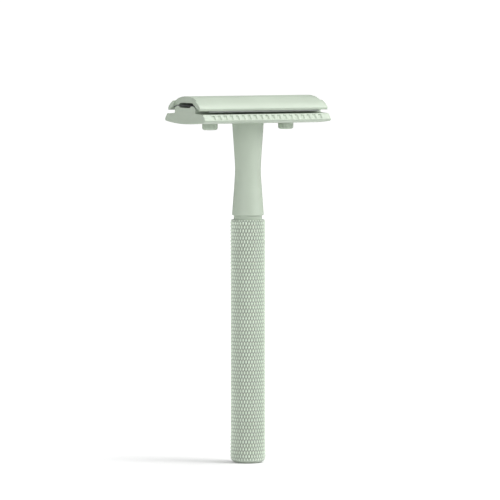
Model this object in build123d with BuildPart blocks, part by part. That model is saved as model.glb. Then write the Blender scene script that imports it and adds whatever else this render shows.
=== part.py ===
"""A three-piece double-edge safety razor, standing on the foot of its handle.

The handle is a turned neck pressed into a knurled grip sleeve.  The head is a base plate with
a notched guard bar along each side, a thin double-edge blade bent over it, and a cap whose
threaded stud draws the whole stack down on to the neck.

Frame: millimetres, +Z up the handle, X along the head, Y across it from one shaving edge to
the other.  The origin is the middle of the foot.
"""

import os

from math import atan2, cos, degrees, sin

from build123d import *

os.makedirs("parts", exist_ok=True)

# Handle, from the foot upwards
grip_diameter = 10.66
grip_height = 73.65
grip_bore_diameter = 6.6
foot_radius = 1.9
grip_top_radius = 0.55
plug_height = 4.0
plug_chamfer = 0.2
weight_diameter = 6.5
weight_bottom_z = 4.2
weight_top_z = 61.2
groove_diameter = 8.6
groove_top_z = 74.9
spigot_bottom_z = 61.65
spigot_chamfer = 0.4
neck_foot_radius = 4.85
neck_waist_radius = 3.82
neck_waist_z = 88.6
neck_waist_curve = 40.0
neck_top_radius = 4.78
neck_edge_chamfer = 0.15
seat_z = 102.75

# Thread between the cap and the handle
thread_diameter = 5.0
thread_clearance = 0.05
insert_diameter = 6.5
insert_bottom_z = 93.0
insert_top_z = 102.6
insert_chamfer = 0.3
stud_bottom_z = 95.0
stud_top_z = 110.35
stud_chamfer = 0.6

# Base plate, a constant section along X
plate_length = 43.0
plate_bottom_z = 102.65
plate_skirt = (12.45, 103.45)
plate_tip = (12.93, 104.0)
guard_crest = (11.5, 105.7)
guard_root = (6.5, 105.95)
platform_shoulder = (6.5, 107.4)
rail_crest = (5.0, 108.08)
channel_half_width = 3.1
channel_z = 107.58
plate_radii = (0.15, 0.2, 0.6)
seat_diameter = 9.9
stud_hole_diameter = 5.3

# Notches in the two guard bars
notch_count = 19
notch_pitch = 2.02
notch_radius = 0.6
notch_depth = 0.3
notch_crest_land = 0.3
notch_tip_land = 0.25

# Cap, a constant section along X with its middle set back at each end
cap_length = 43.6
cap_crown = (
    (0.0, 111.05),
    (3.5, 110.76),
    (5.2, 110.38),
    (6.8, 109.76),
    (8.6, 108.9),
    (9.85, 107.98),
    (10.28, 107.4),
)
cap_crown_tangents = ((1.0, 0.0), (0.45, -0.9))
cap_tip = (10.1, 106.74)
cap_clamp = (6.4, 108.26)
tunnel_foot_y = 4.95
tunnel_roof = (3.95, 109.05)
cap_radii = (0.08, 0.3, 0.1, 0.15)
cap_setback = 0.75
cap_setback_half_width = 7.0

# Locating posts that keep the blade and the plate square to the cap
post_spacing = 26.0
post_diameter = 4.7
post_bottom_z = 100.75
post_top_z = 110.0
post_edge_radius = 0.75
post_hole_diameter = 4.9

# Double-edge blade, the standard 43 x 22 x 0.1 size before it is bent
blade_length = 43.0
blade_width = 22.0
blade_thickness = 0.1
blade_z = 108.18
blade_bend_radius = 3.0
blade_bevel = 0.7
blade_edge_length = 37.6
blade_tab_width = 15.0
blade_slot_length = 34.0
blade_slot_width = 1.8
blade_hole_diameter = 5.6

# Cutters run this far past the faces that they open
cut_margin = 1.0

head_plane = Plane.YZ
turning_plane = Plane.XZ


def finish(builder: BuildPart, name: str) -> None:
    """Label a finished piece and write it to the parts folder."""
    builder.part.label = name
    export_step(builder.part, f"parts/{name}.step")


# Grip sleeve: a thick tube, knurled all over
with BuildPart() as grip_sleeve:
    with BuildSketch(Plane.XY):
        Circle(grip_diameter / 2)
    extrude(amount=grip_height)
    rims = grip_sleeve.edges().filter_by(GeomType.CIRCLE).sort_by(Axis.Z)
    fillet(rims[0], foot_radius)
    rims = grip_sleeve.edges().filter_by(GeomType.CIRCLE).sort_by(Axis.Z)
    fillet(rims[-1], grip_top_radius)
    with BuildSketch(Plane.XY):
        Circle(grip_bore_diameter / 2)
    extrude(amount=grip_height, mode=Mode.SUBTRACT)
finish(grip_sleeve, "grip_sleeve")

# Plug that closes the bottom of the sleeve and stands on the floor
with BuildPart() as foot_plug:
    with BuildSketch(Plane.XY):
        Circle(grip_bore_diameter / 2)
    extrude(amount=plug_height)
    chamfer(foot_plug.edges().group_by(Axis.Z)[-1], plug_chamfer)
finish(foot_plug, "foot_plug")

# Steel rod inside the sleeve that brings the balance down the handle
with BuildPart() as balance_weight:
    with BuildSketch(Plane.XY.offset(weight_bottom_z)):
        Circle(weight_diameter / 2)
    extrude(amount=weight_top_z - weight_bottom_z)
    chamfer(balance_weight.edges().filter_by(GeomType.CIRCLE), plug_chamfer)
finish(balance_weight, "balance_weight")

# Neck: a waisted turning with a shadow groove and a spigot below it
with BuildPart() as neck:
    with BuildSketch(turning_plane):
        with BuildLine():
            waist = FilletPolyline(
                (neck_foot_radius, groove_top_z),
                (neck_waist_radius, neck_waist_z),
                (neck_top_radius, seat_z),
                radius=neck_waist_curve,
            )
            Polyline(
                waist @ 1,
                (0, seat_z),
                (0, spigot_bottom_z),
                (grip_bore_diameter / 2, spigot_bottom_z),
                (grip_bore_diameter / 2, grip_height),
                (groove_diameter / 2, grip_height),
                (groove_diameter / 2, groove_top_z),
                waist @ 0,
            )
        make_face()
    revolve(axis=Axis.Z)
    outer_rims = neck.edges().filter_by(GeomType.CIRCLE).sort_by(SortBy.RADIUS)[-2:]
    chamfer(outer_rims, neck_edge_chamfer)
    chamfer(neck.edges().group_by(Axis.Z)[0], spigot_chamfer)
    with BuildSketch(Plane.XY.offset(insert_bottom_z)):
        Circle(insert_diameter / 2)
    extrude(amount=seat_z - insert_bottom_z, mode=Mode.SUBTRACT)
finish(neck, "neck")

# Brass insert that carries the thread, pressed into the neck
with BuildPart() as threaded_insert:
    with BuildSketch(Plane.XY.offset(insert_bottom_z)):
        Circle(insert_diameter / 2)
        Circle(thread_diameter / 2 + thread_clearance, mode=Mode.SUBTRACT)
    extrude(amount=insert_top_z - insert_bottom_z)
    mouth = threaded_insert.edges().group_by(Axis.Z)[-1].sort_by(SortBy.RADIUS)[0]
    chamfer(mouth, insert_chamfer)
finish(threaded_insert, "threaded_insert")


# Each notch is a shallow flute that runs down the front of a guard bar between two lands
guard_face = Vector(plate_tip[0] - guard_crest[0], plate_tip[1] - guard_crest[1])
guard_drop = guard_face.normalized()
guard_outward = Vector(-guard_drop.Y, guard_drop.X)
notch_length = guard_face.length - notch_crest_land - notch_tip_land
notch_middle = (
    Vector(*guard_crest)
    + guard_drop * (notch_crest_land + notch_length / 2)
    + guard_outward * (notch_radius - notch_depth)
)


def notch_planes() -> list[Plane]:
    """Return the planes whose normals are the axes of the notch cutters on both guard bars."""
    first = -notch_pitch * (notch_count - 1) / 2
    planes = []
    for side in (-1, 1):
        for index in range(notch_count):
            origin = (first + index * notch_pitch, side * notch_middle.X, notch_middle.Y)
            planes.append(Plane(origin=origin, z_dir=(0, side * guard_drop.X, guard_drop.Y)))
    return planes


# Base plate: guard bars, a raised platform with two rails, and three holes
with BuildPart() as base_plate:
    with BuildSketch(head_plane.offset(-plate_length / 2)):
        with BuildLine():
            TangentArc((0, plate_bottom_z), plate_skirt, tangent=(1, 0))
            FilletPolyline(
                plate_skirt,
                plate_tip,
                guard_crest,
                guard_root,
                platform_shoulder,
                radius=plate_radii,
            )
            ThreePointArc(platform_shoulder, rail_crest, (channel_half_width, channel_z))
            Line((channel_half_width, channel_z), (0, channel_z))
            mirror(about=Plane.YZ)
        make_face()
    extrude(amount=plate_length)
    with BuildSketch(Plane.XY.offset(plate_bottom_z - cut_margin)):
        Circle(stud_hole_diameter / 2)
        with GridLocations(post_spacing, 0, 2, 1):
            Circle(post_hole_diameter / 2)
    extrude(amount=channel_z - plate_bottom_z + 2 * cut_margin, mode=Mode.SUBTRACT)
    with BuildSketch(Plane.XY.offset(plate_bottom_z - cut_margin)):
        Circle(seat_diameter / 2)
    extrude(amount=seat_z - plate_bottom_z + cut_margin, mode=Mode.SUBTRACT)
    with Locations(*notch_planes()):
        Cylinder(notch_radius, notch_length, mode=Mode.SUBTRACT)
finish(base_plate, "base_plate")

# Double-edge blade: flat over the rails, bent down to its two cutting edges
bend_angle = atan2(cap_clamp[1] - cap_tip[1], cap_tip[0] - cap_clamp[0])
bend_start_y = cap_clamp[0] - blade_bend_radius * bend_angle / 2
wing_length = blade_width / 2 - bend_start_y - blade_bend_radius * bend_angle
wing_direction = Vector(cos(bend_angle), -sin(bend_angle))
bend_centre = (bend_start_y, blade_z - blade_bend_radius)
upper_radius = blade_bend_radius + blade_thickness / 2
lower_radius = blade_bend_radius - blade_thickness / 2

with BuildPart() as blade:
    with BuildSketch(head_plane.offset(-blade_length / 2)):
        with BuildLine():
            turn = degrees(bend_angle)
            upper_bend = CenterArc(bend_centre, upper_radius, 90 - turn, turn)
            lower_bend = CenterArc(bend_centre, lower_radius, 90 - turn, turn)
            land = wing_direction * (wing_length - blade_bevel)
            keen_edge = (upper_bend @ 0 + lower_bend @ 0) * 0.5 + wing_direction * wing_length
            Polyline(
                upper_bend @ 0,
                upper_bend @ 0 + land,
                keen_edge,
                lower_bend @ 0 + land,
                lower_bend @ 0,
            )
            Line((0, blade_z + blade_thickness / 2), upper_bend @ 1)
            Line((0, blade_z - blade_thickness / 2), lower_bend @ 1)
            mirror(about=Plane.YZ)
        make_face()
    extrude(amount=blade_length)
    tab_gap = (blade_width - blade_tab_width) / 2
    with BuildSketch(Plane.XY.offset(blade_z - blade_bend_radius)):
        with GridLocations(blade_edge_length + tab_gap, blade_tab_width + tab_gap, 2, 2):
            Rectangle(tab_gap, tab_gap)
        SlotOverall(blade_slot_length, blade_slot_width)
        with GridLocations(post_spacing / 2, 0, 3, 1):
            Circle(blade_hole_diameter / 2)
    extrude(amount=2 * blade_bend_radius, mode=Mode.SUBTRACT)
finish(blade, "blade")

# Cap: crowned outside, with a tunnel below and two flanges that clamp the blade
with BuildPart() as cap:
    with BuildSketch(head_plane.offset(-cap_length / 2)):
        with BuildLine():
            Spline(*cap_crown, tangents=cap_crown_tangents)
            FilletPolyline(
                cap_crown[-1],
                cap_tip,
                cap_clamp,
                (tunnel_foot_y, cap_clamp[1]),
                tunnel_roof,
                (0, tunnel_roof[1]),
                radius=cap_radii,
            )
            mirror(about=Plane.YZ)
        make_face()
    extrude(amount=cap_length)
    with BuildSketch(Plane.XY.offset(cap_tip[1])):
        with GridLocations(cap_length, 0, 2, 1):
            Rectangle(2 * cap_setback, 2 * cap_setback_half_width)
    extrude(amount=cap_crown[0][1] - cap_tip[1] + cut_margin, mode=Mode.SUBTRACT)
    with BuildSketch(Plane.XY.offset(tunnel_roof[1] - cut_margin)):
        Circle(thread_diameter / 2)
    extrude(amount=stud_top_z - tunnel_roof[1] + cut_margin, mode=Mode.SUBTRACT)
    with BuildSketch(Plane.XY.offset(tunnel_roof[1] - cut_margin)):
        with GridLocations(post_spacing, 0, 2, 1):
            Circle(post_diameter / 2)
    extrude(amount=post_top_z - tunnel_roof[1] + cut_margin, mode=Mode.SUBTRACT)
finish(cap, "cap")

# Threaded stud, pressed into the cap and screwed into the insert
with BuildPart() as threaded_stud:
    with BuildSketch(Plane.XY.offset(stud_bottom_z)):
        Circle(thread_diameter / 2)
    extrude(amount=stud_top_z - stud_bottom_z)
    chamfer(threaded_stud.edges().group_by(Axis.Z)[0], stud_chamfer)
finish(threaded_stud, "threaded_stud")

# Two locating posts, pressed into the cap
for side, name in ((-1, "left_post"), (1, "right_post")):
    with BuildPart() as post:
        with BuildSketch(Plane.XY.offset(post_bottom_z)):
            with Locations((side * post_spacing / 2, 0)):
                Circle(post_diameter / 2)
        extrude(amount=post_top_z - post_bottom_z)
        fillet(post.edges().group_by(Axis.Z)[0], post_edge_radius)
    finish(post, name)
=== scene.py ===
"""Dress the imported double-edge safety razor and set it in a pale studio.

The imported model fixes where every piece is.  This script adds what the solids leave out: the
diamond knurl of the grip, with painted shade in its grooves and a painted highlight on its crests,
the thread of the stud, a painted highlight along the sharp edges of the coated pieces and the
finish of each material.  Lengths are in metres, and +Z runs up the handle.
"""
import logging
from dataclasses import dataclass, field
from enum import Enum
from math import atan, cos, pi, radians, sin, sqrt, tau

import bmesh
import bpy
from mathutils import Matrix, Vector


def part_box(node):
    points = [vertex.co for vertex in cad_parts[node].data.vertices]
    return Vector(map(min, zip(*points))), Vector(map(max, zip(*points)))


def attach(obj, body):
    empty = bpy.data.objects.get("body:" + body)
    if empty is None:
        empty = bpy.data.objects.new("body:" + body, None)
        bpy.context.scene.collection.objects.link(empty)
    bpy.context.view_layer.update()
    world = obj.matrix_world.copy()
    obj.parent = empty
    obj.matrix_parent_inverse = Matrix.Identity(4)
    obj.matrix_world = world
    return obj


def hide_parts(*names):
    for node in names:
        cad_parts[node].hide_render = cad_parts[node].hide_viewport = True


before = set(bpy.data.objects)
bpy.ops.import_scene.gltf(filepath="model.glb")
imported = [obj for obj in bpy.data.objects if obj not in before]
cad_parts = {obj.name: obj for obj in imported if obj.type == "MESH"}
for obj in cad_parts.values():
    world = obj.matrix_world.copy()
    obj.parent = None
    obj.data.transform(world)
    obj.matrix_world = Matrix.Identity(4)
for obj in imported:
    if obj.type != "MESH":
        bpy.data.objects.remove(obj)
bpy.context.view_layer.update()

log = logging.getLogger("razor")

MM = 0.001
SENSOR_WIDTH = 36.0

# Most of a noise texture's values lie between these
NOISE_LOW = 0.3
NOISE_HIGH = 0.7

# The grip's mesh stores how far each point lies below the knurl's mean surface; the knurled coat turns it
# into painted shade in the grooves and a painted highlight on the crests
GROOVE = "groove"
CREST_LEVEL = -0.35
GROOVE_LEVEL = 0.333

# The coat's colours; the pale one is a painted highlight along sharp edges
SAGE = (0.456, 0.526, 0.434)
KNURL_SAGE = (0.455, 0.512, 0.437)
EDGE_HIGHLIGHT_SAGE = (0.50, 0.575, 0.475)


class Body(Enum):
    """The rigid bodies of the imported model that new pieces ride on."""

    HANDLE = "handle"
    CAP = "cap"


class Slot(Enum):
    """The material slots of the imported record."""

    SAGE = "sage_coat"
    THREAD = "thread_steel"
    BLADE = "blade_steel"
    BRASS = "insert_brass"
    WEIGHT = "weight_steel"


# --------------------------------------------------------------------------------------
# Shader building blocks
# --------------------------------------------------------------------------------------


def add_node(
    tree: bpy.types.NodeTree, kind: str, place: tuple[float, float], **values: object
) -> bpy.types.Node:
    """Add a node and set its attributes.

    Args:
        tree: The node tree to add to.
        kind: The node's type name, without the ShaderNode prefix.
        place: Where the node stands in the editor.
        **values: Attributes to set on the node.

    Returns:
        The new node.
    """
    node = tree.nodes.new(f"ShaderNode{kind}")
    node.location = place
    for name, value in values.items():
        setattr(node, name, value)
    return node


def set_inputs(node: bpy.types.Node, **values: object) -> None:
    """Set a node's input sockets, named with underscores for spaces.

    Args:
        node: The node to set.
        **values: Socket names and their default values.
    """
    for name, value in values.items():
        node.inputs[name.replace("_", " ")].default_value = value


def new_group(name: str, inputs: dict[str, float], outputs: list[str]) -> bpy.types.ShaderNodeTree:
    """Start a shader node group whose sockets are all floats.

    Args:
        name: The group's name.
        inputs: Input socket names and their default values.
        outputs: Output socket names.

    Returns:
        The group, with its input and output nodes in place.
    """
    group = bpy.data.node_groups.new(name, "ShaderNodeTree")
    for title, default in inputs.items():
        socket = group.interface.new_socket(title, in_out="INPUT", socket_type="NodeSocketFloat")
        socket.default_value = default
    for title in outputs:
        group.interface.new_socket(title, in_out="OUTPUT", socket_type="NodeSocketFloat")
    add_group_end(group, "NodeGroupInput", (-900, 0))
    add_group_end(group, "NodeGroupOutput", (700, 0))
    return group


def add_group_end(group: bpy.types.ShaderNodeTree, kind: str, place: tuple[float, float]) -> None:
    """Add a group's input or output node.

    Args:
        group: The group.
        kind: The node's full type name, which also becomes its name.
        place: Where the node stands in the editor.
    """
    node = group.nodes.new(kind)
    node.name = kind
    node.location = place


def grain_group() -> bpy.types.ShaderNodeTree:
    """Return the group for the fine pebble of a sprayed coat, which it builds once.

    Returns:
        A group that gives Height, the coat's relief, and Mottle, its slow change of tone.
    """
    name = "Coat grain"
    if name in bpy.data.node_groups:
        return bpy.data.node_groups[name]
    group = new_group(name, {"Pebble Size": 0.12 * MM, "Cloud Size": 9 * MM}, ["Height", "Mottle"])
    ends = group.nodes["NodeGroupInput"].outputs
    coords = add_node(group, "TexCoord", (-900, -260))
    noises = (("Height", "Pebble Size", 2.0, 150), ("Mottle", "Cloud Size", 3.0, -250))
    for title, socket, detail, row in noises:
        scale = add_node(group, "Math", (-600, row), operation="DIVIDE")
        scale.inputs[0].default_value = 1.0
        noise = add_node(group, "TexNoise", (-350, row))
        set_inputs(noise, Detail=detail, Roughness=0.5)
        group.links.new(ends[socket], scale.inputs[1])
        group.links.new(coords.outputs["Object"], noise.inputs["Vector"])
        group.links.new(scale.outputs[0], noise.inputs["Scale"])
        group.links.new(noise.outputs["Fac"], group.nodes["NodeGroupOutput"].inputs[title])
    return group


def edge_group() -> bpy.types.ShaderNodeTree:
    """Return the group that marks sharp outer edges, where the coat gets a painted highlight, which it
    builds once.

    Returns:
        A group that gives Edge, a mask that is 1 along sharp outer edges and 0 elsewhere.
    """
    name = "Edge mask"
    if name in bpy.data.node_groups:
        return bpy.data.node_groups[name]
    group = new_group(name, {"Width": 0.15 * MM, "Strength": 1.0}, ["Edge"])
    ends = group.nodes["NodeGroupInput"].outputs
    bevel = add_node(group, "Bevel", (-600, 150), samples=6)
    geometry = add_node(group, "NewGeometry", (-600, -150))
    agree = add_node(group, "VectorMath", (-350, 50), operation="DOT_PRODUCT")
    apart = add_node(group, "Math", (-150, 50), operation="SUBTRACT")
    apart.inputs[0].default_value = 1.0
    gain = add_node(group, "Math", (100, 50), operation="MULTIPLY", use_clamp=True)
    group.links.new(ends["Width"], bevel.inputs["Radius"])
    group.links.new(bevel.outputs["Normal"], agree.inputs[0])
    group.links.new(geometry.outputs["Normal"], agree.inputs[1])
    group.links.new(agree.outputs["Value"], apart.inputs[1])
    group.links.new(apart.outputs[0], gain.inputs[0])
    group.links.new(ends["Strength"], gain.inputs[1])
    group.links.new(gain.outputs[0], group.nodes["NodeGroupOutput"].inputs["Edge"])
    return group


def lathe_group() -> bpy.types.ShaderNodeTree:
    """Return the group for fine turning marks, rings stacked along Z, which it builds once.

    Returns:
        A group that gives Height, the relief of the rings.
    """
    name = "Turning marks"
    if name in bpy.data.node_groups:
        return bpy.data.node_groups[name]
    group = new_group(name, {"Ring Pitch": 0.08 * MM}, ["Height"])
    ends = group.nodes["NodeGroupInput"].outputs
    coords = add_node(group, "TexCoord", (-900, -260))
    split = add_node(group, "SeparateXYZ", (-700, -260))
    scale = add_node(group, "Math", (-500, 0), operation="DIVIDE")
    noise = add_node(group, "TexNoise", (-250, 0), noise_dimensions="1D")
    set_inputs(noise, Scale=1.0, Detail=2.0, Roughness=0.6)
    group.links.new(coords.outputs["Object"], split.inputs[0])
    group.links.new(split.outputs["Z"], scale.inputs[0])
    group.links.new(ends["Ring Pitch"], scale.inputs[1])
    group.links.new(scale.outputs[0], noise.inputs["W"])
    group.links.new(noise.outputs["Fac"], group.nodes["NodeGroupOutput"].inputs["Height"])
    return group


def place_group(
    tree: bpy.types.NodeTree,
    group: bpy.types.ShaderNodeTree,
    place: tuple[float, float],
    **values: float,
) -> bpy.types.Node:
    """Place a shared group in a material with its own values.

    Args:
        tree: The material's node tree.
        group: The shared group.
        place: Where the node stands in the editor.
        **values: Input socket names, with underscores for spaces, and their values.

    Returns:
        The group node.
    """
    node = add_node(tree, "Group", place, node_tree=group)
    set_inputs(node, **values)
    return node


def start_material(name: str) -> tuple[bpy.types.Material, bpy.types.Node]:
    """Make a material that holds one Principled BSDF.

    Args:
        name: The material's name.

    Returns:
        The material and its shader node.
    """
    material = bpy.data.materials.new(name)
    material.use_nodes = True
    shader = material.node_tree.nodes["Principled BSDF"]
    shader.location = (300, 0)
    material.node_tree.nodes["Material Output"].location = (600, 0)
    return material, shader


@dataclass(frozen=True)
class SprayedCoat:
    """A matte sprayed coat over metal, with a fine pebble, a painted highlight that makes sharp edges paler
    and, on a knurl, painted shade and highlight.
    """

    name: str
    colour: tuple[float, float, float]
    # The paler colour along sharp edges, a painted highlight
    edge_highlight_colour: tuple[float, float, float]
    roughness: float = 0.42
    patchiness: float = 0.04
    tone_change: float = 0.03
    pebble: float = 0.12 * MM
    relief: float = 0.006 * MM
    edge_width: float = 0.12 * MM
    # Factors on the colour: a painted highlight on a knurl's crests and painted shade in its grooves
    crest_painted_highlight: float = 1.0
    groove_painted_shade: float = 1.0

    def material(self) -> bpy.types.Material:
        """Mix the coat.

        Returns:
            The coat as a material.
        """
        material, shader = start_material(self.name)
        tree = material.node_tree
        grain = place_group(tree, grain_group(), (-700, -200), Pebble_Size=self.pebble)
        edge = place_group(tree, edge_group(), (-700, 200), Width=self.edge_width, Strength=1.5)
        tone = add_node(tree, "MapRange", (-450, -50))
        set_inputs(tone, From_Min=NOISE_LOW, From_Max=NOISE_HIGH)
        set_inputs(tone, To_Min=1 - self.tone_change, To_Max=1 + self.tone_change)
        shade = add_node(tree, "HueSaturation", (-200, 0))
        shade.inputs["Color"].default_value = (*self.colour, 1)
        # Sharp edges turn paler: a painted highlight
        highlighted_edges = add_node(tree, "Mix", (0, 100), data_type="RGBA")
        highlighted_edges.inputs["B"].default_value = (*self.edge_highlight_colour, 1)
        matte = add_node(tree, "MapRange", (-200, -300))
        set_inputs(matte, From_Min=NOISE_LOW, From_Max=NOISE_HIGH)
        set_inputs(matte, To_Min=self.roughness - self.patchiness, To_Max=self.roughness + self.patchiness)
        bump = add_node(tree, "Bump", (0, -350))
        set_inputs(bump, Strength=0.35, Distance=self.relief)
        tree.links.new(grain.outputs["Mottle"], tone.inputs["Value"])
        tree.links.new(self.knurl_painted_light(tree, tone).outputs[0], shade.inputs["Value"])
        tree.links.new(shade.outputs["Color"], highlighted_edges.inputs["A"])
        tree.links.new(edge.outputs["Edge"], highlighted_edges.inputs["Factor"])
        tree.links.new(highlighted_edges.outputs["Result"], shader.inputs["Base Color"])
        tree.links.new(grain.outputs["Mottle"], matte.inputs["Value"])
        tree.links.new(matte.outputs["Result"], shader.inputs["Roughness"])
        tree.links.new(grain.outputs["Height"], bump.inputs["Height"])
        tree.links.new(bump.outputs["Normal"], shader.inputs["Normal"])
        return material

    def knurl_painted_light(self, tree: bpy.types.NodeTree, tone: bpy.types.Node) -> bpy.types.Node:
        """Paint shade into the coat in a knurl's grooves and a highlight onto its crests.

        Args:
            tree: The material's node tree.
            tone: The node that gives the coat's slow change of tone.

        Returns:
            The node whose first output is the tone to use.
        """
        if self.crest_painted_highlight == self.groove_painted_shade:
            return tone
        groove = add_node(tree, "Attribute", (-900, 0), attribute_name=GROOVE)
        depth = add_node(tree, "MapRange", (-700, 0))
        set_inputs(depth, From_Min=CREST_LEVEL, From_Max=GROOVE_LEVEL)
        set_inputs(depth, To_Min=self.crest_painted_highlight, To_Max=self.groove_painted_shade)
        both = add_node(tree, "Math", (-330, -150), operation="MULTIPLY")
        tree.links.new(groove.outputs["Fac"], depth.inputs["Value"])
        tree.links.new(depth.outputs["Result"], both.inputs[0])
        tree.links.new(tone.outputs["Result"], both.inputs[1])
        return both


@dataclass(frozen=True)
class TurnedMetal:
    """Bare metal with fine turning marks."""

    name: str
    colour: tuple[float, float, float]
    roughness: float = 0.32
    ring_pitch: float = 0.08 * MM
    relief: float = 0.004 * MM

    def material(self) -> bpy.types.Material:
        """Turn the metal.

        Returns:
            The metal as a material.
        """
        material, shader = start_material(self.name)
        tree = material.node_tree
        set_inputs(shader, Base_Color=(*self.colour, 1), Metallic=1.0)
        rings = place_group(tree, lathe_group(), (-500, -200), Ring_Pitch=self.ring_pitch)
        rough = add_node(tree, "MapRange", (-200, 0))
        set_inputs(rough, To_Min=self.roughness - 0.08, To_Max=self.roughness + 0.08)
        bump = add_node(tree, "Bump", (-200, -300))
        set_inputs(bump, Strength=0.5, Distance=self.relief)
        tree.links.new(rings.outputs["Height"], rough.inputs["Value"])
        tree.links.new(rough.outputs["Result"], shader.inputs["Roughness"])
        tree.links.new(rings.outputs["Height"], bump.inputs["Height"])
        tree.links.new(bump.outputs["Normal"], shader.inputs["Normal"])
        return material


@dataclass(frozen=True)
class GroundSteel:
    """Rolled blade steel whose grain runs along the blade."""

    name: str
    colour: tuple[float, float, float]
    roughness: float = 0.3
    stretch: float = 40.0

    def material(self) -> bpy.types.Material:
        """Roll the steel.

        Returns:
            The steel as a material.
        """
        material, shader = start_material(self.name)
        tree = material.node_tree
        set_inputs(shader, Base_Color=(*self.colour, 1), Metallic=1.0)
        coords = add_node(tree, "TexCoord", (-900, 0))
        mapping = add_node(tree, "Mapping", (-700, 0))
        set_inputs(mapping, Scale=(1 / self.stretch, 1, 1))
        noise = add_node(tree, "TexNoise", (-450, 0))
        set_inputs(noise, Scale=4000.0, Detail=3.0)
        rough = add_node(tree, "MapRange", (-200, 0))
        set_inputs(rough, To_Min=self.roughness - 0.1, To_Max=self.roughness + 0.1)
        tree.links.new(coords.outputs["Object"], mapping.inputs["Vector"])
        tree.links.new(mapping.outputs["Vector"], noise.inputs["Vector"])
        tree.links.new(noise.outputs["Fac"], rough.inputs["Value"])
        tree.links.new(rough.outputs["Result"], shader.inputs["Roughness"])
        return material


@dataclass(frozen=True)
class Paper:
    """The plain pale sweep that the razor stands on, lit to white where the camera sees it."""

    name: str
    colour: tuple[float, float, float] = (0.86, 0.86, 0.86)
    near: float = 20 * MM
    far: float = 160 * MM
    near_glow: float = 0.13
    far_glow: float = 0.75

    def material(self) -> bpy.types.Material:
        """Make the paper, whose glow, seen only by the camera, grows with the distance from the razor:
        painted light that lifts it to white far off and leaves it darker round the razor.

        Returns:
            The paper as a material.
        """
        material, shader = start_material(self.name)
        set_inputs(shader, Base_Color=(*self.colour, 1), Roughness=0.9)
        set_inputs(shader, Emission_Color=(1, 1, 1, 1))
        shader.inputs["Specular IOR Level"].default_value = 0.1
        tree = material.node_tree
        coords = add_node(tree, "TexCoord", (-700, -400))
        reach = add_node(tree, "VectorMath", (-500, -400), operation="LENGTH")
        # Painted light: the camera-only glow is weak near the razor and strong far off, so the paper reads
        # darker round it
        pool = add_node(tree, "MapRange", (-300, -400), interpolation_type="SMOOTHSTEP")
        set_inputs(pool, From_Min=self.near, From_Max=self.far, To_Min=self.near_glow, To_Max=self.far_glow)
        path = add_node(tree, "LightPath", (-300, -150))
        strength = add_node(tree, "Math", (-50, -300), operation="MULTIPLY")
        tree.links.new(coords.outputs["Object"], reach.inputs[0])
        tree.links.new(reach.outputs["Value"], pool.inputs["Value"])
        tree.links.new(pool.outputs["Result"], strength.inputs[0])
        tree.links.new(path.outputs["Is Camera Ray"], strength.inputs[1])
        tree.links.new(strength.outputs[0], shader.inputs["Emission Strength"])
        return material


@dataclass
class Finishes:
    """Every material of the razor, by the record's slots."""

    made: dict[Slot, bpy.types.Material] = field(default_factory=dict)
    knurled: bpy.types.Material | None = None

    def build(self) -> None:
        """Make the materials."""
        # The knurled coat paints shade into the grooves and a highlight onto the crests
        knurl = SprayedCoat(
            "knurled coat", KNURL_SAGE, EDGE_HIGHLIGHT_SAGE, roughness=0.34, crest_painted_highlight=1.56, groove_painted_shade=0.68
        )
        self.knurled = knurl.material()
        self.made[Slot.SAGE] = SprayedCoat("sage coat", SAGE, EDGE_HIGHLIGHT_SAGE).material()
        self.made[Slot.THREAD] = TurnedMetal("thread steel", (0.56, 0.56, 0.55)).material()
        self.made[Slot.BLADE] = GroundSteel("blade steel", (0.42, 0.43, 0.44), 0.35).material()
        self.made[Slot.BRASS] = TurnedMetal("insert brass", (0.76, 0.56, 0.27)).material()
        self.made[Slot.WEIGHT] = TurnedMetal("weight steel", (0.42, 0.42, 0.42), 0.5).material()

    def dress_node(self, name: str, slot: Slot) -> None:
        """Give a carried-over node its material.

        Args:
            name: The node's name.
            slot: The slot whose material it takes.
        """
        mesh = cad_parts[name].data
        mesh.materials.clear()
        mesh.materials.append(self.made[slot])
        log.info("dressed %s as %s", name, slot.value)


# --------------------------------------------------------------------------------------
# Mesh building blocks
# --------------------------------------------------------------------------------------


def polar(radius: float, turn: float, height: float) -> tuple[float, float, float]:
    """Place a point by its radius and turn about the handle's axis.

    Args:
        radius: The distance from the axis.
        turn: The turn about the axis, in radians.
        height: The height.

    Returns:
        The point's x, y and z.
    """
    return (radius * cos(turn), radius * sin(turn), height)


def add_piece(
    name: str, bm: bmesh.types.BMesh, material: bpy.types.Material, smooth_angle: float
) -> bpy.types.Object:
    """Turn a bmesh into a shaded object in the scene.

    Args:
        name: The piece's name.
        bm: The mesh, which is freed.
        material: The piece's material.
        smooth_angle: Edges sharper than this angle, in degrees, stay crisp.

    Returns:
        The new object.
    """
    bmesh.ops.recalc_face_normals(bm, faces=bm.faces)
    mesh = bpy.data.meshes.new(name)
    bm.to_mesh(mesh)
    bm.free()
    mesh.shade_smooth()
    mesh.set_sharp_from_angle(angle=radians(smooth_angle))
    mesh.materials.append(material)
    piece = bpy.data.objects.new(name, mesh)
    bpy.context.scene.collection.objects.link(piece)
    return piece


def enlist(piece: bpy.types.Object, body: Body, slot: Slot, *nodes: str) -> None:
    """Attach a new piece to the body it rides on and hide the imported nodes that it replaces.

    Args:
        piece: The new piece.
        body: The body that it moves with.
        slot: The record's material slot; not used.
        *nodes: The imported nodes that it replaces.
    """
    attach(piece, body.value)
    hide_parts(*nodes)
    log.info("built %s, %d faces", piece.name, len(piece.data.polygons))


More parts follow.
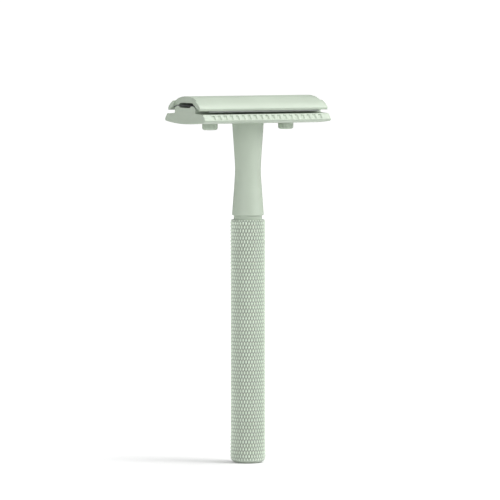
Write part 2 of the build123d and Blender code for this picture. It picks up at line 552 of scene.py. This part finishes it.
def boundary_loops(bm: bmesh.types.BMesh) -> list[list[bmesh.types.BMEdge]]:
    """Return a mesh's open edges, sorted into a lower and an upper loop.

    Args:
        bm: A tube-like mesh, open at both ends.

    Returns:
        The edges of the lower loop and of the upper loop.
    """
    rim = [edge for edge in bm.edges if edge.is_boundary]
    middle = sum(edge.verts[0].co.z for edge in rim) / len(rim)
    low = [edge for edge in rim if edge.verts[0].co.z < middle]
    high = [edge for edge in rim if edge.verts[0].co.z >= middle]
    return [low, high]


def grow_rim(
    bm: bmesh.types.BMesh, rim: list[bmesh.types.BMEdge], radius: float, height: float
) -> list[bmesh.types.BMEdge]:
    """Extend an open rim by one ring of faces.

    Args:
        bm: The mesh.
        rim: The rim's edges.
        radius: The new ring's radius.
        height: The new ring's height.

    Returns:
        The edges of the new rim.
    """
    grown = bmesh.ops.extrude_edge_only(bm, edges=rim)["geom"]
    for item in grown:
        if isinstance(item, bmesh.types.BMVert):
            flat = Vector((item.co.x, item.co.y, 0)).normalized() * radius
            item.co = (flat.x, flat.y, height)
    return [item for item in grown if isinstance(item, bmesh.types.BMEdge) and item.is_boundary]


# --------------------------------------------------------------------------------------
# Handle
# --------------------------------------------------------------------------------------


@dataclass
class Grip:
    """The grip sleeve with its diamond knurl cut as real pyramids."""

    starts: int = 36
    diamond_height: float = 2.2 * MM
    depth: float = 0.4 * MM
    flank_share: float = 0.38
    crown: float = 0.015 * MM
    plain_level: float = 0.12
    foot_radius: float = 1.9 * MM
    top_radius: float = 0.55 * MM
    bore_radius: float = 3.3 * MM
    rounding_steps: int = 6
    radius: float = 0.0
    height: float = 0.0

    def measure(self) -> None:
        """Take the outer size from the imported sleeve."""
        low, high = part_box("grip_sleeve")
        self.radius = (high.x - low.x) / 2
        self.height = high.z

    def envelope(self, height: float) -> float:
        """Follow the outer surface of the sleeve, which rounds off at both ends.

        Args:
            height: The height.

        Returns:
            The outer radius there.
        """
        if height < self.foot_radius:
            return self.rounded(self.foot_radius, self.foot_radius - height)
        if height > self.height - self.top_radius:
            return self.rounded(self.top_radius, height - self.height + self.top_radius)
        return self.radius

    def rounded(self, corner: float, into: float) -> float:
        """Follow a rounded corner.

        Args:
            corner: The corner's radius.
            into: The depth into the corner, along the axis.

        Returns:
            The outer radius there.
        """
        return self.radius - corner + sqrt(max(corner**2 - into**2, 0.0))

    def fade_height(self, corner: float) -> float:
        """Find where a rounded corner swallows the knurl.

        Args:
            corner: The corner's radius.

        Returns:
            The depth into the corner, along the axis.
        """
        return sqrt(corner**2 - (corner - self.depth) ** 2)

    def relief(self, across: float, along: float) -> float:
        """Shape one diamond.

        Args:
            across: The place across the diamond, from 0 to 1.
            along: The place along it, from 0 to 1.

        Returns:
            The height above the groove.
        """
        inset = min(across, 1 - across, along, 1 - along)
        flank = min(inset / self.flank_share, 1.0)
        return self.depth * flank + self.crown * (2 * inset - 1)

    def add_diamond(self, bm: bmesh.types.BMesh, left: int, right: int) -> None:
        """Add one pyramid between a left-hand and a right-hand pair of grooves.

        Args:
            bm: The mesh to add to.
            left: The number of the left-hand groove below the pyramid.
            right: The number of the right-hand groove below the pyramid.
        """
        shares = (0.0, self.flank_share, 0.5, 1 - self.flank_share, 1.0)
        rows = []
        for across in shares:
            row = []
            for along in shares:
                cell = (left + across + right + along) / 2
                height = (left + across - right - along) / 2 * self.diamond_height
                radius = self.radius - self.depth + self.relief(across, along)
                row.append(bm.verts.new(polar(radius, cell * tau / self.starts, height)))
            rows.append(row)
        for lower, upper in zip(rows, rows[1:]):
            for index in range(len(shares) - 1):
                bm.faces.new((lower[index], lower[index + 1], upper[index + 1], upper[index]))

    def build(self, finishes: Finishes) -> bpy.types.Object:
        """Build the knurled sleeve.

        Args:
            finishes: The razor's materials.

        Returns:
            The sleeve.
        """
        self.measure()
        bm = bmesh.new()
        rows = int(self.height / self.diamond_height) + 2
        for row in range(-1, 2 * rows):
            for start in range(self.starts):
                left = start + (row + 1) // 2
                right = start - row // 2
                self.add_diamond(bm, left, right)
        bmesh.ops.remove_doubles(bm, verts=bm.verts, dist=0.004 * MM)
        self.trim(bm)
        self.mark_grooves(bm)
        low, high = boundary_loops(bm)
        low = self.round_off(bm, low, self.foot_radius, 0.0, -1)
        high = self.round_off(bm, high, self.top_radius, self.height, 1)
        low = grow_rim(bm, low, self.bore_radius, 0.0)
        high = grow_rim(bm, high, self.bore_radius, self.height)
        bmesh.ops.bridge_loops(bm, edges=low + high)
        piece = add_piece("knurled_grip", bm, finishes.knurled, 35)
        enlist(piece, Body.HANDLE, Slot.SAGE, "grip_sleeve")
        return piece

    def trim(self, bm: bmesh.types.BMesh) -> None:
        """Cut the knurl to length and press it into the rounded ends.

        Args:
            bm: The knurl's mesh.
        """
        foot_fade = self.foot_radius - self.fade_height(self.foot_radius)
        top_fade = self.height - self.top_radius + self.fade_height(self.top_radius)
        for place, away in ((foot_fade, -1), (top_fade, 1)):
            self.cut(bm, place, away)
        for step in range(1, self.rounding_steps):
            share = step / self.rounding_steps
            self.cut(bm, foot_fade + share * (self.foot_radius - foot_fade), 0)
            self.cut(bm, top_fade - share * (top_fade - self.height + self.top_radius), 0)
        for vert in bm.verts:
            limit = self.envelope(vert.co.z)
            flat = Vector((vert.co.x, vert.co.y, 0))
            if flat.length > limit or vert.is_boundary:
                flat = flat.normalized() * limit
                vert.co = (flat.x, flat.y, vert.co.z)

    def mark_grooves(self, bm: bmesh.types.BMesh) -> None:
        """Store how far each point lies below the knurl's mean surface, as a share of its depth.

        Args:
            bm: The knurl's mesh, already cut to length.
        """
        layer = bm.verts.layers.float.new(GROOVE)
        valley = self.radius - self.depth
        for vert in bm.verts:
            full = max(self.envelope(vert.co.z) - valley, 0.0)
            height = Vector((vert.co.x, vert.co.y)).length - valley
            plain = self.plain_level * (1 - full / self.depth)
            vert[layer] = (full / 3 - height) / self.depth + plain

    def cut(self, bm: bmesh.types.BMesh, height: float, away: int) -> None:
        """Slice the mesh at a height.

        Args:
            bm: The mesh.
            height: Where to slice it.
            away: 1 to drop what is above, -1 to drop what is below, 0 to keep both.
        """
        geometry = list(bm.verts) + list(bm.edges) + list(bm.faces)
        bmesh.ops.bisect_plane(
            bm,
            geom=geometry,
            dist=0.001 * MM,
            plane_co=(0, 0, height),
            plane_no=(0, 0, 1),
            clear_outer=away > 0,
            clear_inner=away < 0,
        )

    def round_off(
        self, bm: bmesh.types.BMesh, rim: list[bmesh.types.BMEdge], corner: float, end: float, side: int
    ) -> list[bmesh.types.BMEdge]:
        """Carry a rim round the rest of a rounded end.

        Args:
            bm: The mesh.
            rim: The rim where the knurl stops.
            corner: The corner's radius.
            end: The height of the end face.
            side: 1 for the top and -1 for the foot.

        Returns:
            The rim on the end face.
        """
        start = self.fade_height(corner) / corner
        first = atan(start / sqrt(1 - start**2))
        for step in range(1, self.rounding_steps + 1):
            turn = first + (pi / 2 - first) * step / self.rounding_steps
            height = end - side * corner * (1 - sin(turn))
            rim = grow_rim(bm, rim, self.radius - corner * (1 - cos(turn)), height)
        return rim


# --------------------------------------------------------------------------------------
# Thread
# --------------------------------------------------------------------------------------


@dataclass
class Stud:
    """The cap's screw, with its thread cut as a real helix."""

    pitch: float = 0.8 * MM
    thread_depth: float = 0.43 * MM
    crest_share: float = 0.18
    root_share: float = 0.2
    chamfer: float = 0.6 * MM
    shank_start: float = 107.4 * MM
    run_out: float = 0.8 * MM
    sides: int = 48
    rows_per_pitch: int = 14

    def thread_radius(self, outer: float, turn: float, height: float) -> float:
        """Return the surface radius at a turn and a height.

        Args:
            outer: The major radius.
            turn: The turn about the axis, in radians.
            height: The height.

        Returns:
            The radius of a right-hand thread there.
        """
        phase = (height / self.pitch - turn / tau) % 1.0
        away = abs(phase - 0.5) * 2
        flank = (away - self.crest_share) / (1 - self.crest_share - self.root_share)
        depth = self.thread_depth * min(max(flank, 0.0), 1.0)
        fade = min(max((self.shank_start - height) / self.run_out, 0.0), 1.0)
        return outer - depth * fade

    def build(self, finishes: Finishes) -> bpy.types.Object:
        """Build the stud.

        Args:
            finishes: The razor's materials.

        Returns:
            The stud.
        """
        low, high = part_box("threaded_stud")
        outer = (high.x - low.x) / 2
        rows = round((self.shank_start - low.z) / self.pitch * self.rows_per_pitch)
        step = (self.shank_start - low.z) / rows
        heights = [low.z + index * step for index in range(rows + 1)] + [high.z]
        bm = bmesh.new()
        rings = []
        for height in heights:
            limit = outer - max(self.chamfer - (height - low.z), 0.0)
            ring = []
            for side in range(self.sides):
                turn = tau * side / self.sides
                radius = min(self.thread_radius(outer, turn, height), limit)
                ring.append(bm.verts.new(polar(radius, turn, height)))
            rings.append(ring)
        for lower, upper in zip(rings, rings[1:]):
            for side in range(self.sides):
                after = (side + 1) % self.sides
                bm.faces.new((lower[side], lower[after], upper[after], upper[side]))
        bm.faces.new(rings[0])
        bm.faces.new(rings[-1])
        piece = add_piece("stud_with_thread", bm, finishes.made[Slot.THREAD], 40)
        enlist(piece, Body.CAP, Slot.THREAD, "threaded_stud")
        return piece


# --------------------------------------------------------------------------------------
# Sub-assemblies
# --------------------------------------------------------------------------------------


@dataclass
class Handle:
    """The neck, grip sleeve, foot plug and what is inside them."""

    grip: Grip = field(default_factory=Grip)

    def build(self, finishes: Finishes) -> None:
        """Dress the handle's solids and cut the knurl.

        Args:
            finishes: The razor's materials.
        """
        for name in ("neck", "foot_plug"):
            finishes.dress_node(name, Slot.SAGE)
        finishes.dress_node("threaded_insert", Slot.BRASS)
        finishes.dress_node("balance_weight", Slot.WEIGHT)
        self.grip.build(finishes)


@dataclass
class Head:
    """The base plate, the blade, and the cap with its posts and stud."""

    stud: Stud = field(default_factory=Stud)

    def build(self, finishes: Finishes) -> None:
        """Dress the head's solids and cut the thread.

        Args:
            finishes: The razor's materials.
        """
        for name in ("cap", "left_post", "right_post", "base_plate"):
            finishes.dress_node(name, Slot.SAGE)
        finishes.dress_node("blade", Slot.BLADE)
        self.stud.build(finishes)


# --------------------------------------------------------------------------------------
# Studio
# --------------------------------------------------------------------------------------


@dataclass
class Softbox:
    """One soft area light that points at the razor."""

    name: str
    azimuth: float
    elevation: float
    distance: float
    size: float
    power: float
    aim_height: float = 60 * MM

    def build(self) -> None:
        """Hang the light."""
        turn, lift = radians(self.azimuth), radians(self.elevation)
        away = Vector((sin(turn) * cos(lift), -cos(turn) * cos(lift), sin(lift)))
        data = bpy.data.lights.new(self.name, "AREA")
        data.shape = "SQUARE"
        data.size = self.size
        data.energy = self.power
        light = bpy.data.objects.new(self.name, data)
        light.location = Vector((0, 0, self.aim_height)) + away * self.distance
        light.rotation_euler = away.to_track_quat("Z", "Y").to_euler()
        bpy.context.scene.collection.objects.link(light)


@dataclass
class Studio:
    """A pale sweep, soft lights and the camera."""

    sweep_width: float = 12.0
    sweep_front: float = -3.0
    sweep_back: float = 6.0
    sweep_height: float = 4.0
    sweep_curve: float = 1.5
    curve_steps: int = 16
    camera_azimuth: float = -28.5
    camera_distance: float = 1.5
    camera_height: float = 147.7 * MM
    camera_tilt: float = 3.18
    camera_step_right: float = 0.62 * MM
    camera_lens: float = 358.0
    world_strength: float = 0.36

    def build(self) -> None:
        """Build the sweep, the world, the lights and the camera."""
        self.build_sweep()
        self.build_world()
        for softbox in (
            Softbox("key_softbox", 46, 27, 1.4, 0.7, 10.5),
            Softbox("fill_softbox", -62, 20, 1.6, 1.0, 7.8),
            Softbox("top_softbox", 60, 70, 1.2, 1.0, 10),
        ):
            softbox.build()
        self.build_camera()

    def build_sweep(self) -> None:
        """Build the floor and backdrop as one curved sheet, turned to face the camera."""
        profile = [(self.sweep_front, 0.0), (0.0, 0.0)]
        for step in range(self.curve_steps + 1):
            turn = pi / 2 * step / self.curve_steps
            back = self.sweep_back - self.sweep_curve * (1 - sin(turn))
            profile.append((back, self.sweep_curve * (1 - cos(turn))))
        profile.append((self.sweep_back, self.sweep_height))
        yaw = radians(self.camera_azimuth)
        ahead = Vector((-sin(yaw), cos(yaw), 0))
        beside = Vector((cos(yaw), sin(yaw), 0))
        bm = bmesh.new()
        rows = []
        for back, height in profile:
            row = []
            for side in (-0.5, 0.5):
                corner = ahead * back + beside * side * self.sweep_width
                row.append(bm.verts.new(corner + Vector((0, 0, height))))
            rows.append(row)
        for near, far in zip(rows, rows[1:]):
            bm.faces.new((near[0], near[1], far[1], far[0]))
        sweep = add_piece("paper_sweep", bm, Paper("paper").material(), 60)

    def build_world(self) -> None:
        """Light the scene evenly from all round."""
        world = bpy.data.worlds.new("studio")
        world.use_nodes = True
        background = world.node_tree.nodes["Background"]
        set_inputs(background, Color=(1, 1, 1, 1), Strength=self.world_strength)
        bpy.context.scene.world = world

    def build_camera(self) -> None:
        """Stand a long lens a little above the head, looking slightly down."""
        turn, tilt = radians(self.camera_azimuth), radians(self.camera_tilt)
        back = Vector((sin(turn), -cos(turn), 0))
        right = Vector((cos(turn), sin(turn), 0))
        data = bpy.data.cameras.new("camera")
        data.lens = self.camera_lens
        data.sensor_width = SENSOR_WIDTH
        data.clip_start = 0.1
        camera = bpy.data.objects.new("camera", data)
        camera.location = back * self.camera_distance + right * self.camera_step_right
        camera.location.z = self.camera_height
        look = Vector((-back.x * cos(tilt), -back.y * cos(tilt), -sin(tilt)))
        camera.rotation_mode = "QUATERNION"
        camera.rotation_quaternion = look.to_track_quat("-Z", "Y")
        bpy.context.scene.collection.objects.link(camera)
        bpy.context.scene.camera = camera


def main() -> None:
    """Build the razor's visible pieces and the studio."""
    logging.basicConfig(level=logging.INFO)
    bpy.context.scene.view_settings.view_transform = "Standard"
    Studio().build()
    finishes = Finishes()
    finishes.build()
    Handle().build(finishes)
    Head().build(finishes)


if __name__ == "__main__":
    main()
